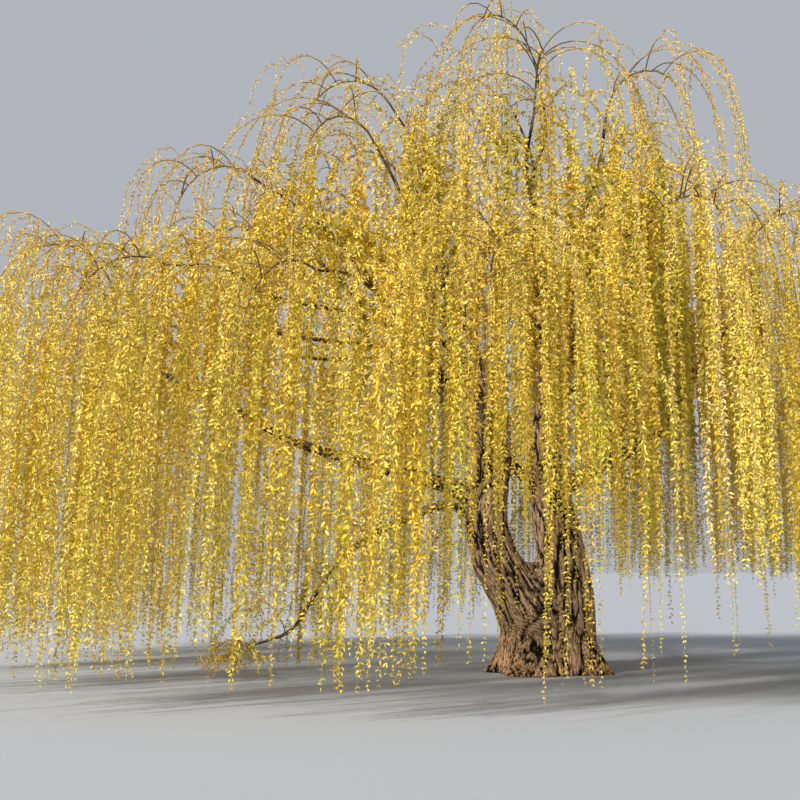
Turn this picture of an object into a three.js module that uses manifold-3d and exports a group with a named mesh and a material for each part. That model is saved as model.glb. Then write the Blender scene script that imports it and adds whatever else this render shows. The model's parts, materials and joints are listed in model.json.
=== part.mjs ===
// A golden weeping willow in early spring, at its real size: a short forked trunk, boughs that arch out, and
// a crown of long hanging strands. Lengths are in millimetres and +Z is up. The origin is the middle of the
// flat cut under the trunk, at ground level. The tree is first seen along +Y, so -X is left and -Y is near.
import * as THREE from "three";
import { mergeVertices } from "three/addons/utils/BufferGeometryUtils.js";
import Module from "manifold-3d";

const wasm = await Module();
wasm.setup();

// The crown's reach from the trunk on each side, its top, and the heights where its dome meets its edge
const CROWN = { left: 8500, right: 5000, front: 4500, back: 5500, top: 10600 };
const SHOULDER = { left: 5750, right: 4100 };
const DOME_POWER = 1.75;

// The lowest tips of the curtain on the left and right, and the window in it that shows the trunk
const HEM = { left: 250, right: 1350, fadeFrom: -2400, fadeTo: 1400, ragged: 900 };
const WINDOW = { middle: -640, halfWidth: 1000, height: 2500 };
const TRAILING = { from: -1500, share: 0.18, height: 120 }; // the odd front strand that reaches the ground

// Three rings of foliage masses: how far out each stands, its first mass's turn, and its lowest hem
const RINGS = [
  { name: "top", count: 4, out: 0.27, turn: 0.5, hem: 5600 },
  { name: "middle", count: 8, out: 0.55, turn: 0.5, hem: 3500 },
  { name: "outer", count: 13, out: 0.86, turn: 0, hem: 0 },
];

// The trunk's foot, its flare into the roots, and the saddle it ends in between the stems
const TRUNK = { halfWidth: 720, halfDepth: 590, height: 1640, flare: 200, flareHeight: 260, lowRings: 1.6 };
const SADDLE = { share: 0.26, lean: -300, late: 4 }; // late: the power that its narrowing follows
const ROOTS = { count: 5, turn: 0.55, depth: 0.6, uneven: 1.1 };

// The two stems that leave the fork: their lean, and their thickness at the fork and at the tip
const STEMS = [
  {
    name: "left_stem",
    path: [
      [-200, 0, 350],
      [-420, -30, 1050],
      [-800, -80, 1700],
      [-940, -60, 2300],
      [-800, 20, 3100],
      [-1000, 80, 4400],
    ],
    thick: 470,
    thin: 170,
  },
  {
    name: "right_stem",
    path: [
      [220, 0, 350],
      [240, 30, 1100],
      [210, 80, 1750],
      [130, 130, 2400],
      [40, 200, 3150],
      [130, 260, 4500],
    ],
    thick: 510,
    thin: 170,
  },
];
const STEM_CUT = 0.4; // the share of a stem that belongs to the trunk's fork

// Boughs: how thick each ring's are, the stretch of parent that they leave from, how early they rise, how
// far they have risen when they arch over, and how far they stray from a plain arch
const BOUGHS = {
  top: { thick: 125, thin: 42, from: 0.93, spread: 0.12, rise: 0.5, crest: 0.9 },
  middle: { thick: 165, thin: 46, from: 0.68, spread: 0.24, rise: 0.42, crest: 0.95 },
  outer: { thick: 90, thin: 42, from: 0.2, spread: 0.2, rise: 0.5, crest: 1.12 },
  level: { thick: 185, thin: 46, from: 0.56, spread: 0.04, rise: 0.26, crest: 0.16 },
};
const STRAY = 0.035;
const HANDLES = { near: 0.36, far: 0.78 }; // how far across a bough has come where it rises and arches over
const LAST_FORK = 0.985; // the share of its parent that a bough leaves from at the latest
const NEVER_THICKER = 0.82; // than this share of the parent
const TAPER_POWER = 0.85;
const BALLS = 24;
const LEVEL_BOUGHS = [3, 7, 12]; // the outer masses whose boughs run low and level, straight from a stem
const TIP = { belowDome: 680, beforeMiddle: 620 };
const STEPS = { foot: 8, fork: 6, stem: 8, bough: 5 };
const SIDES = { foot: 24, stem: 12, thickBough: 8, bough: 6, twig: 3 };

// The low bough that arches out to the left and comes down almost to the ground, in two pieces
const LOW_BOUGH = {
  path: [
    [-900, -60, 2250],
    [-1500, -300, 2500],
    [-2250, -520, 2250],
    [-3000, -680, 1800],
    [-3480, -790, 1200],
    [-3850, -870, 660],
    [-4250, -930, 500],
  ],
  thick: 125,
  thin: 48,
  bend: 0.55,
};
const LOW_MASS = { key: 99, size: 0.4, radius: 950, height: 1150, reach: 0.55, hem: 60, ragged: 120 };

// Twigs, by order: how steeply each leaves its parent, how soon its weight turns it down, and its thickness
const TWIGS = [
  { rise: 65, bend: 560, more: 260, thick: 40, thin: 12 },
  { rise: 50, bend: 520, more: 300, thick: 28, thin: 11 },
  { rise: 35, bend: 220, more: 120, thick: 22, thin: 10 },
];
const BRANCHLETS = { count: 3, from: 120, stretch: 1300, least: 25, spread: 110, first: 0.35, turn: 0.7548 };
const SPRIGS = { bearers: 2, from: 300, stretch: 1100, least: 60, spread: 80 };
const SWAY = { lean: -0.018, wander: 0.035 };
const STRIDE = 100;
const TWIG_RINGS = [0, 0.6, 1.7]; // where a twig's rings stand, in bends from its root, before the last
const LEAST_TWIG = 2200; // of the twigs that end before their hem
const ROOT_STRETCH = 250; // of a twig, where it may be near the limb that it grows from
const TRIES = 5; // for a twig that finds no room: each next try bends sooner
const SOONER = 0.78;

// Each leaf stands for a spray of leaves and catkins
const LEAF = { length: 640, width: 140, thickness: 22, widest: 0.4, spread: 14, spacing: 3400, sink: 0.45 };
const LEAF_STANDS = { first: 0.7, vary: 0.5, beforeEnd: 0.8, least: 0.4 }; // in spacings, leaves and twigs

const GAP = 0.3; // between touching solids
const CLEAR = 35; // between a twig and a limb or a neighbouring mass
const GOLDEN = 0.6180339887;
const SEED = 20260403;

// What each chance is for, as the last of its keys
const DRAW = {
  bend: 1,
  bud: 2,
  leafStand: 3,
  away: 4,
  leafTurn: 5,
  leanX: 7,
  leanY: 8,
  ragged: 11,
  trails: 12,
  stray: 21,
};

const BARK = new THREE.MeshStandardMaterial({ color: 0x6f5a45, roughness: 0.95, metalness: 0 });
const FOLIAGE = new THREE.MeshStandardMaterial({ color: 0xd2ab35, roughness: 0.7, metalness: 0 });

const UP = new THREE.Vector3(0, 0, 1);
const { degToRad, lerp, mapLinear, smoothstep } = THREE.MathUtils;
const part = (x) => x - Math.floor(x);
const vector = (p) => new THREE.Vector3(...p);
const ahead = (spot, way, distance) => spot.clone().addScaledVector(way, distance);
const wayTo = (from, to) => to.clone().sub(from).normalize();

// A value from 0 to 1 that depends only on its whole-number keys, so each twig keeps its own chance
function chance(...keys) {
  let h = SEED;
  for (const key of keys) {
    h = Math.imul(h ^ (key + 0x9e3779b9), 0x85ebca6b);
    h ^= h >>> 13;
    h = Math.imul(h, 0xc2b2ae35);
    h ^= h >>> 16;
  }
  return (h >>> 0) / 2 ** 32;
}

// The height of the crown's dome over a place, highest over the trunk
function domeHeight(x, y) {
  const out = Math.hypot(x / (x < 0 ? CROWN.left : CROWN.right), y / (y < 0 ? CROWN.front : CROWN.back));
  const shoulder = mapLinear(x, -CROWN.left, CROWN.right, SHOULDER.left, SHOULDER.right);
  return shoulder + (CROWN.top - shoulder) * (1 - Math.min(out, 1) ** DOME_POWER);
}

// The height where the curtain ends over a place
function hemHeight(x, y) {
  if (y < 0 && Math.abs(x - WINDOW.middle) < WINDOW.halfWidth) return WINDOW.height;
  return lerp(HEM.left, HEM.right, smoothstep(x, HEM.fadeFrom, HEM.fadeTo));
}

function solidOf(geometry) {
  geometry.deleteAttribute("normal");
  geometry.deleteAttribute("uv");
  const merged = mergeVertices(geometry, 1e-3);
  return new wasm.Manifold(
    new wasm.Mesh({
      numProp: 3,
      vertProperties: merged.attributes.position.array,
      triVerts: new Uint32Array(merged.index.array),
    }),
  );
}

function meshOf(name, solid, material) {
  const { vertProperties, triVerts } = solid.getMesh();
  const geometry = new THREE.BufferGeometry()
    .setAttribute("position", new THREE.BufferAttribute(vertProperties, 3))
    .setIndex(new THREE.BufferAttribute(triVerts, 1));
  geometry.computeVertexNormals();
  const mesh = new THREE.Mesh(geometry, material);
  mesh.name = name;
  return mesh;
}

const largestPiece = (solid) => solid.decompose().sort((a, b) => b.volume() - a.volume())[0];

// A closed tapering tube: a cylinder whose rings are moved to their spots, each with its own way and radius
function tube(rings, sides) {
  const steps = rings.length - 1;
  const geometry = new THREE.CylinderGeometry(1, 1, 1, sides, steps);
  const level = new THREE.Vector3().crossVectors(UP, rings[steps].spot.clone().sub(rings[0].spot));
  if (level.length() < 1) level.set(1, 0, 0);
  const position = geometry.attributes.position;
  for (let i = 0; i < position.count; i++) {
    const { spot, way, radius } = rings[Math.round((0.5 - position.getY(i)) * steps)];
    const across = ahead(level, way, -level.dot(way)).normalize();
    const around = new THREE.Vector3().crossVectors(way, across);
    const corner = ahead(ahead(spot, across, position.getX(i) * radius), around, position.getZ(i) * radius);
    position.setXYZ(i, corner.x, corner.y, corner.z);
  }
  return solidOf(geometry);
}

// A limb's solid along a stretch of its curve. A fat copy, cut from a neighbour, leaves the gap between them.
function limbSolid({ curve, sides, radiusAt }, from, to, steps, fat = 0) {
  const rings = [];
  for (let i = 0; i <= steps; i++) {
    const t = lerp(from, to, i / steps);
    rings.push({ spot: curve.getPointAt(t), way: curve.getTangentAt(t), radius: radiusAt(t) + fat });
  }
  rings[0].spot.addScaledVector(rings[0].way, -fat);
  rings[steps].spot.addScaledVector(rings[steps].way, fat);
  return tube(rings, sides);
}

// A limb: a curve that it follows as it tapers, and balls along it for twigs to keep clear of
function limb(name, curve, thick, thin, sides) {
  const radiusAt = (t) => lerp(thick, thin, t ** TAPER_POWER);
  const slack = curve.getLength() / BALLS / 4;
  const spots = curve.getSpacedPoints(BALLS);
  const balls = spots.map((spot, i) => ({ spot, radius: radiusAt(i / BALLS) + slack }));
  return { name, curve, sides, radiusAt, balls };
}

const limbs = [];
const meshes = [];

// Adds a stretch of a limb to the tree, cut clear of the limbs that are there
function addLimb(made, from, to, steps) {
  let solid = limbSolid(made, from, to, steps);
  for (const other of limbs) solid = solid.subtract(other.fatSolid);
  meshes.push(meshOf(made.name, largestPiece(solid), BARK));
  limbs.push({ ...made, fatSolid: limbSolid(made, from, to, steps, GAP) });
  return made;
}

// The trunk's foot: an oval column that flares into roots at the ground and narrows to the fork's saddle
function trunkFoot() {
  const geometry = new THREE.CylinderGeometry(1, 1, 1, SIDES.foot, STEPS.foot);
  const position = geometry.attributes.position;
  for (let i = 0; i < position.count; i++) {
    const share = position.getY(i) + 0.5;
    const z = TRUNK.height * share ** TRUNK.lowRings;
    const out = Math.hypot(position.getX(i), position.getZ(i));
    const angle = Math.atan2(-position.getZ(i), position.getX(i));
    const wave = Math.cos(ROOTS.count * (angle - ROOTS.turn) + ROOTS.uneven * Math.sin(2 * angle));
    const flare = TRUNK.flare * Math.exp(-z / TRUNK.flareHeight) * (1 + ROOTS.depth * wave);
    const narrowing = share ** SADDLE.late;
    const column = lerp(1, SADDLE.share, narrowing);
    position.setXYZ(
      i,
      SADDLE.lean * narrowing + out * Math.cos(angle) * (TRUNK.halfWidth * column + flare),
      out * Math.sin(angle) * (TRUNK.halfDepth * column + flare),
      z,
    );
  }
  return solidOf(geometry);
}

function buildTrunk() {
  let trunk = trunkFoot();
  const stems = STEMS.map(({ name, path, thick, thin }) =>
    limb(name, new THREE.CatmullRomCurve3(path.map(vector)), thick, thin, SIDES.stem),
  );
  for (const stem of stems) trunk = trunk.add(limbSolid(stem, 0, STEM_CUT, STEPS.fork));
  meshes.push(meshOf("trunk", largestPiece(trunk), BARK));
  for (const stem of stems) addLimb(stem, STEM_CUT + GAP / stem.curve.getLength(), 1, STEPS.stem);
  return stems;
}

// A bough's curve: it leaves its parent outward, rises early or late, arches over and strays on its way
function boughCurve(start, tip, { rise, crest }, key) {
  const across = tip.clone().sub(start).setZ(0);
  const climb = tip.z - start.z;
  const near = ahead(ahead(start, across, HANDLES.near), UP, climb * rise);
  const far = ahead(ahead(start, across, HANDLES.far), UP, climb * crest);
  const arch = new THREE.CubicBezierCurve3(start, near, far, tip);
  const reach = arch.getLength() * STRAY;
  const points = arch.getSpacedPoints(STEPS.bough);
  points.slice(1, -1).forEach((point, i) => {
    point.add(vector([0, 1, 2].map((axis) => reach * (2 * chance(key, i, axis, DRAW.stray) - 1))));
  });
  return new THREE.CatmullRomCurve3(points);
}

// How far a spot lies on the mass's own side of the border between it and another mass
function insideBorder(mass, other, spot) {
  const toOther = (spot.x - other.x) ** 2 + (spot.y - other.y) ** 2;
  const toMass = (spot.x - mass.x) ** 2 + (spot.y - mass.y) ** 2;
  return (toOther - toMass) / (2 * Math.hypot(mass.x - other.x, mass.y - other.y));
}

// The masses of the three rings: the place, outward azimuth, bough's tip, hem and own space of each
function ringMasses() {
  const middle = { x: (CROWN.right - CROWN.left) / 2, y: (CROWN.back - CROWN.front) / 2 };
  const half = { x: (CROWN.right + CROWN.left) / 2, y: (CROWN.back + CROWN.front) / 2 };
  const masses = [];
  for (const { name: ring, count, out, turn, hem } of RINGS) {
    for (let index = 0; index < count; index++) {
      const angle = (2 * Math.PI * (index + turn)) / count;
      const x = middle.x + out * half.x * Math.cos(angle);
      const y = middle.y + out * half.y * Math.sin(angle);
      const azimuth = Math.atan2(y, x);
      const top = new THREE.Vector3(x, y, domeHeight(x, y) - TIP.belowDome);
      const tip = ahead(top, heading(azimuth, 0), -TIP.beforeMiddle);
      const name = `${ring}_${index + 1}`;
      masses.push({ name, ring, index, key: masses.length, size: 1, angle, x, y, azimuth, tip, hem });
    }
  }
  for (const mass of masses) {
    const others = masses.filter((other) => other !== mass);
    mass.owns = (spot, margin) => others.every((other) => insideBorder(mass, other, spot) > margin);
  }
  return masses;
}

// The middle bough that points most nearly the same way as an outer mass
function nearestBough(middles, angle) {
  const apart = (mass) => 1 - Math.cos(mass.angle - angle);
  return middles.reduce((best, mass) => (apart(mass) < apart(best) ? mass : best)).bough;
}

// The bough that carries a mass: top and middle boughs leave a stem, and outer ones fork from a middle bough
function buildBoughs(masses, stems) {
  const middles = masses.filter((mass) => mass.ring === "middle");
  for (const mass of masses) {
    const level = mass.ring === "outer" && LEVEL_BOUGHS.includes(mass.index);
    const forked = mass.ring === "outer" && !level;
    const kind = BOUGHS[level ? "level" : mass.ring];
    const stem = stems[mass.x < (CROWN.right - CROWN.left) / 2 ? 0 : 1];
    const parent = forked ? nearestBough(middles, mass.angle) : stem;
    const from = Math.min(kind.from + kind.spread * part(mass.index * GOLDEN), LAST_FORK);
    const curve = boughCurve(parent.curve.getPointAt(from), mass.tip, kind, mass.key);
    const thick = Math.min(kind.thick, parent.radiusAt(from) * NEVER_THICKER);
    const sides = level ? SIDES.thickBough : SIDES.bough;
    mass.bough = addLimb(limb(`${mass.name}_bough`, curve, thick, kind.thin, sides), 0, 1, STEPS.bough);
    mass.bearing = curve.getTangentAt(1);
  }
}

// The low bough in its two pieces, and the small mass at its end
function buildLowBough() {
  const curve = new THREE.CatmullRomCurve3(LOW_BOUGH.path.map(vector));
  const whole = limb("low_bough", curve, LOW_BOUGH.thick, LOW_BOUGH.thin, SIDES.thickBough);
  addLimb(whole, 0, LOW_BOUGH.bend, STEPS.bough);
  addLimb({ ...whole, name: "low_bough_end" }, LOW_BOUGH.bend + GAP / curve.getLength(), 1, STEPS.bough);
  const tip = curve.getPointAt(1);
  const bearing = curve.getTangentAt(1);
  const azimuth = Math.atan2(bearing.y, bearing.x);
  const middle = ahead(tip, heading(azimuth, 0), LOW_MASS.radius * LOW_MASS.reach);
  const owns = (spot, margin) =>
    Math.hypot(spot.x - middle.x, spot.y - middle.y) < LOW_MASS.radius - margin && spot.z < LOW_MASS.height;
  return { name: "low", ring: "low", key: LOW_MASS.key, size: LOW_MASS.size, tip, bearing, azimuth, owns };
}

function touchesLimb(spot, reach) {
  return limbs.some(({ balls }) => balls.some((ball) => ball.spot.distanceTo(spot) < ball.radius + reach));
}

function heading(azimuth, rise) {
  const level = Math.cos(rise);
  return new THREE.Vector3(Math.cos(azimuth) * level, Math.sin(azimuth) * level, Math.sin(rise));
}

// The height where a strand from a spot ends: ragged above the hem, or trailing near the ground
function endHeight(mass, spot, keys) {
  if (mass.ring === "low") return LOW_MASS.hem + LOW_MASS.ragged * chance(...keys, DRAW.ragged);
  const front = mass.ring === "outer" && spot.y < 0 && spot.x > TRAILING.from;
  if (front && chance(...keys, DRAW.trails) < TRAILING.share) return TRAILING.height;
  return Math.max(mass.hem, hemHeight(spot.x, spot.y)) + HEM.ragged * chance(...keys, DRAW.ragged) ** 2;
}

// Whether a twig may pass through a spot, a distance from its root
function isFree(mass, spot, distance) {
  return mass.owns(spot, CLEAR) && (distance < ROOT_STRETCH || !touchesLimb(spot, CLEAR));
}

// A twig that its own weight bends down, as far as its end height, the edge of its mass's space or a limb
function droop(mass, order, start, way, bend, keys) {
  const lean = SWAY.lean + SWAY.wander * (chance(...keys, DRAW.leanX) - 0.5);
  const drift = new THREE.Vector3(lean, SWAY.wander * (chance(...keys, DRAW.leanY) - 0.5), 0);
  const end = endHeight(mass, start, keys);
  const points = [start.clone()];
  const along = way.clone();
  let done = false;
  while (!done && points.length < CROWN.top / STRIDE) {
    along.z -= STRIDE / bend;
    along.normalize();
    const last = points.at(-1);
    const spot = ahead(ahead(last, along, STRIDE), drift, STRIDE);
    if (!isFree(mass, spot, points.length * STRIDE)) break;
    done = spot.z < end;
    if (done) spot.lerp(last, (end - spot.z) / (last.z - spot.z));
    points.push(spot);
  }
  const twig = { order, done, length: (points.length - 1) * STRIDE, rings: twigRings(points, bend, order) };
  const fits = points.every((_, i) => isFree(mass, placeOn(twig, i * STRIDE).spot, i * STRIDE));
  return fits ? twig : { done: false, length: 0 };
}

// The few rings that stand for a path: close together where it bends, and one at its end
function twigRings(points, bend, order) {
  const { thick, thin } = TWIGS[order];
  const length = (points.length - 1) * STRIDE;
  const stands = TWIG_RINGS.map((bends) => bends * bend).filter((at) => at < length - STRIDE);
  return [...stands, length].map((at) => {
    const i = Math.min(Math.floor(at / STRIDE), points.length - 2);
    const spot = points[i].clone().lerp(points[i + 1], at / STRIDE - i);
    return { at, spot, way: wayTo(points[i], points[i + 1]), radius: lerp(thick, thin, at / length) };
  });
}

// The spot, way and radius of a twig at a distance from its root
function placeOn({ rings }, distance) {
  const at = Math.min(distance, rings.at(-1).at);
  const i = rings.findLastIndex((ring, k) => ring.at <= at && k < rings.length - 1);
  const [near, far] = [rings[i], rings[i + 1]];
  const share = (at - near.at) / (far.at - near.at);
  return {
    spot: near.spot.clone().lerp(far.spot, share),
    way: wayTo(near.spot, far.spot),
    radius: lerp(near.radius, far.radius, share),
  };
}

// The best of a few tries at a twig, each of which bends sooner than the last
function grow(mass, order, start, wayOfTry, keys) {
  const { bend, more } = TWIGS[order];
  const firstBend = (bend + more * chance(...keys, DRAW.bend)) * mass.size;
  let best;
  for (let k = 0; k < TRIES; k++) {
    const twig = droop(mass, order, start, wayOfTry(k / TRIES), firstBend * SOONER ** k, keys);
    if (twig.done) return twig;
    if (!best || twig.length > best.length) best = twig;
  }
  return best;
}

// The stem of a mass, which carries on from its bough's tip and rises before it droops
function growStem(mass) {
  const root = ahead(mass.tip, mass.bearing, GAP);
  const rising = heading(mass.azimuth, degToRad(TWIGS[0].rise));
  const way = mass.bearing.clone().add(rising).normalize();
  const stem = grow(mass, 0, root, () => way, [mass.key, 0, 0]);
  stem.rings[0].way = mass.bearing;
  return stem;
}

// A twig to one side of its mass's outward way, which turns toward that way when it finds no room
function growAside(mass, order, start, aside, keys) {
  const rise = degToRad(TWIGS[order].rise);
  return grow(mass, order, start, (share) => heading(mass.azimuth + aside * (1 - share), rise), keys);
}

// The twigs of a mass: its stem, branchlets to both sides of that, and sprigs on the first branchlets
function massTwigs(mass) {
  const { key, size } = mass;
  const stem = growStem(mass);
  const twigs = [stem];
  for (let k = 0; k < BRANCHLETS.count; k++) {
    const stand = part(k * GOLDEN + BRANCHLETS.first);
    const fork = placeOn(stem, size * (BRANCHLETS.from + BRANCHLETS.stretch * stand));
    const side = k % 2 ? 1 : -1;
    const aside = side * degToRad(BRANCHLETS.least + BRANCHLETS.spread * part(k * BRANCHLETS.turn));
    const branchlet = growAside(mass, 1, fork.spot, aside, [key, k, 1]);
    if (!branchlet.done && branchlet.length < LEAST_TWIG) continue;
    twigs.push(branchlet);
    if (k >= SPRIGS.bearers) continue;
    const bud = placeOn(branchlet, size * (SPRIGS.from + SPRIGS.stretch * chance(key, k, DRAW.bud)));
    const away = aside + side * degToRad(SPRIGS.least + SPRIGS.spread * chance(key, k, DRAW.away));
    const sprig = growAside(mass, 2, bud.spot, away, [key, k, 2]);
    if (sprig.done || sprig.length > LEAST_TWIG) twigs.push(sprig);
  }
  return twigs;
}

// A leaf of eight faces, its root sunk into the twig
function leafSolid(spot, way, side, sink) {
  const geometry = new THREE.OctahedronGeometry(1, 0);
  const position = geometry.attributes.position;
  for (let i = 0; i < position.count; i++) {
    if (Math.abs(position.getY(i)) < 0.5) position.setY(i, 2 * LEAF.widest - 1);
  }
  const normal = new THREE.Vector3().crossVectors(side, way);
  geometry.scale(LEAF.width / 2, LEAF.length / 2, LEAF.thickness / 2);
  geometry.applyMatrix4(new THREE.Matrix4().makeBasis(side, way, normal));
  const middle = ahead(spot, way, LEAF.length / 2 - sink);
  geometry.translate(middle.x, middle.y, middle.z);
  return solidOf(geometry);
}

// The leaves along a twig, turned about it by the golden angle, and one more near its end
function twigLeaves(mass, twig, keys) {
  const leaves = [];
  const count = Math.max(1, Math.round(twig.length / LEAF.spacing));
  const { first, vary, beforeEnd, least } = LEAF_STANDS;
  const lastAt = Math.max(twig.length - LEAF.length * beforeEnd, twig.length * least);
  for (let k = 0; k < count; k++) {
    const stand = k + first + vary * chance(...keys, k, DRAW.leafStand);
    const at = k === count - 1 ? lastAt : (twig.length * stand) / count;
    const { spot, way, radius } = placeOn(twig, at);
    const out = heading(2 * Math.PI * (k * GOLDEN + chance(...keys, DRAW.leafTurn)), 0);
    const leafWay = ahead(way, out, Math.tan(degToRad(LEAF.spread))).normalize();
    const side = new THREE.Vector3().crossVectors(leafWay, out).normalize();
    const fits = [LEAF.widest, 1].every((share) => {
      const p = ahead(spot, leafWay, LEAF.length * share);
      return p.z > CLEAR && mass.owns(p, LEAF.width / 2) && !touchesLimb(p, LEAF.width / 2);
    });
    if (fits) leaves.push(leafSolid(spot, leafWay, side, radius * LEAF.sink));
  }
  return leaves;
}

function buildMass(mass) {
  const solids = massTwigs(mass).flatMap((twig, i) => [
    tube(twig.rings, SIDES.twig),
    ...twigLeaves(mass, twig, [mass.key, i]),
  ]);
  meshes.push(meshOf(`${mass.name}_foliage`, largestPiece(wasm.Manifold.union(solids)), FOLIAGE));
}

const stems = buildTrunk();
const masses = ringMasses();
buildBoughs(masses, stems);
const lowMass = buildLowBough();
for (const mass of [...masses, lowMass]) buildMass(mass);

const tree = new THREE.Group();
tree.add(...meshes);

export default tree;
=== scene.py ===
# A golden weeping willow in early spring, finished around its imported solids. Lengths are in metres and +Z is
# up. Trunk, stems and boughs get meshes with their bark's relief. Each mass of foliage grows again by the
# rule of the solids, carried to finer twigs, and the twigs carry leaves and catkins.
import json
import math

import bpy
import numpy as np
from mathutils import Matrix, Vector, noise
from numpy.linalg import norm

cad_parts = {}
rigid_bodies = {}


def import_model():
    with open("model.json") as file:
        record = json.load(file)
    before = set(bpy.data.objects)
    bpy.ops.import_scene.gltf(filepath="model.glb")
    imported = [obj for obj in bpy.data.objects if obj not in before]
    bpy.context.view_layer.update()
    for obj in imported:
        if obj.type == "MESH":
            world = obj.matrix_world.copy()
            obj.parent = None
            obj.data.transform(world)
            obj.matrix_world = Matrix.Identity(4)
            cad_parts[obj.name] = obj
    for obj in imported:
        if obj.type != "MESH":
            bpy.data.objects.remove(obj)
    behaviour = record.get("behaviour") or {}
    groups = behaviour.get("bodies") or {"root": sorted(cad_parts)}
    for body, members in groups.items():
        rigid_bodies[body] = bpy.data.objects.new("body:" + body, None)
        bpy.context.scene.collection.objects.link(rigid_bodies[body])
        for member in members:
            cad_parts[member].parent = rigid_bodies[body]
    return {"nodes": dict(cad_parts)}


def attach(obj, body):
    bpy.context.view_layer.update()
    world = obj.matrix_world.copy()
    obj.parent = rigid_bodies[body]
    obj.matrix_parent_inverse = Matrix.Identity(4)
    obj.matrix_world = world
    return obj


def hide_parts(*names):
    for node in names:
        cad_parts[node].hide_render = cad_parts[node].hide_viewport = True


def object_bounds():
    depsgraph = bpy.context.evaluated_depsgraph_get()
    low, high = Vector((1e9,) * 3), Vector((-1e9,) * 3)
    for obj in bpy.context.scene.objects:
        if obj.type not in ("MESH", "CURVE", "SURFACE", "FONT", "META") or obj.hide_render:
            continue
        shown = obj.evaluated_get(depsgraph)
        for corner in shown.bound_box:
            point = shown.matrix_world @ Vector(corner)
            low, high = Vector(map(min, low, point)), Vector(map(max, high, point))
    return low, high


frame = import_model()
CAD_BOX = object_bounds()

# The camera and the light
CAMERA = {"place": (-2.26, -16.35, 1.6), "tilt": 98.93, "lens": 47.25, "sensor": 36, "sees": 1000}
SUN = {"azimuth": -56, "height": 42, "strength": 4.9, "angle": 5, "color": (1.0, 0.95, 0.87)}
WORLD = {"color": (0.88, 0.92, 1.0), "strength": 0.5}
FLOOR = {"size": 400, "color": (0.335, 0.36, 0.4)}

# The crown's reach from the trunk on each side, its top, and the heights where its dome meets its edge
CROWN = {"left": 8.5, "right": 5.0, "front": 4.5, "back": 5.5, "top": 10.6}
SHOULDER = {"left": 5.75, "right": 4.1}
DOME_POWER = 1.75
HEM = {"left": 0.25, "right": 1.35, "fade_from": -2.4, "fade_to": 1.4, "ragged": 0.9}
WINDOW = {"middle": -0.64, "half_width": 1.0, "height": 2.1}
CURTAIN = {"masses": ("outer_11", "middle_7"), "closer": 0.62, "trailing": 0.52}  # strands before the window
ALONE = {"smaller": 0.8, "height": 0.4}  # leaves near the hem and below it are smaller
TRAILING = {"from": -1.7, "share": 0.13, "height": 0.1, "more": 2.2}
SPILL = 0.021  # of the box's sides, by which fine twigs may stand out of it
LOWEST = 0.02

# Three rings of masses: their number, how far out they stand, the first one's turn, and their lowest hem
RINGS = (("top", 4, 0.27, 0.5, 5.6), ("middle", 8, 0.55, 0.5, 3.5), ("outer", 13, 0.86, 0.0, 0.0))

# The trunk's foot, its saddle and roots, and the two stems
TRUNK = {"half_width": 0.72, "half_depth": 0.59, "height": 1.64, "flare": 0.2, "flare_height": 0.26,
         "low_rings": 1.6, "steps": 30, "sides": 96}
SADDLE = {"share": 0.26, "lean": -0.3, "late": 4}
ROOTS = {"count": 5, "turn": 0.55, "depth": 0.6, "uneven": 1.1}
STEMS = {
    "left_stem": {
        "path": [(-0.2, 0, 0.35), (-0.42, -0.03, 1.05), (-0.8, -0.08, 1.7), (-0.94, -0.06, 2.3),
                 (-0.8, 0.02, 3.1), (-1.0, 0.08, 4.4)],
        "thick": 0.47,
        "thin": 0.17,
    },
    "right_stem": {
        "path": [(0.22, 0, 0.35), (0.24, 0.03, 1.1), (0.21, 0.08, 1.75), (0.13, 0.13, 2.4),
                 (0.04, 0.2, 3.15), (0.13, 0.26, 4.5)],
        "thick": 0.51,
        "thin": 0.17,
    },
}

# Boughs, as in the solids: thickness, the stretch of parent they leave from, and their arch
BOUGHS = {
    "top": {"thick": 0.125, "thin": 0.042, "from": 0.93, "spread": 0.12, "rise": 0.5, "crest": 0.9},
    "middle": {"thick": 0.165, "thin": 0.046, "from": 0.68, "spread": 0.24, "rise": 0.42, "crest": 0.95},
    "outer": {"thick": 0.09, "thin": 0.042, "from": 0.2, "spread": 0.2, "rise": 0.5, "crest": 1.12},
    "level": {"thick": 0.185, "thin": 0.046, "from": 0.56, "spread": 0.04, "rise": 0.26, "crest": 0.16},
}
STRAY = 0.035
HANDLES = {"near": 0.36, "far": 0.78}
LAST_FORK = 0.985
NEVER_THICKER = 0.82
TAPER_POWER = 0.85
BALLS = 24
BALL_MARGIN = 0.25  # of the way from ball to ball, added to their radii
BOUGH_STEPS = 5
LEVEL_BOUGHS = (3, 7, 12)
TIP = {"below_dome": 0.68, "before_middle": 0.62}
LOW_BOUGH = {
    "path": [(-0.9, -0.06, 2.25), (-1.5, -0.3, 2.5), (-2.25, -0.52, 2.25), (-3.0, -0.68, 1.8),
             (-3.48, -0.79, 1.2), (-3.85, -0.87, 0.66), (-4.25, -0.93, 0.5)],
    "thick": 0.125,
    "thin": 0.048,
}
LOW_MASS = {"key": 99, "size": 0.4, "radius": 0.95, "height": 1.15, "reach": 0.55, "hem": 0.06,
            "ragged": 0.12, "aside": 0.6, "over": 0.45}

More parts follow.
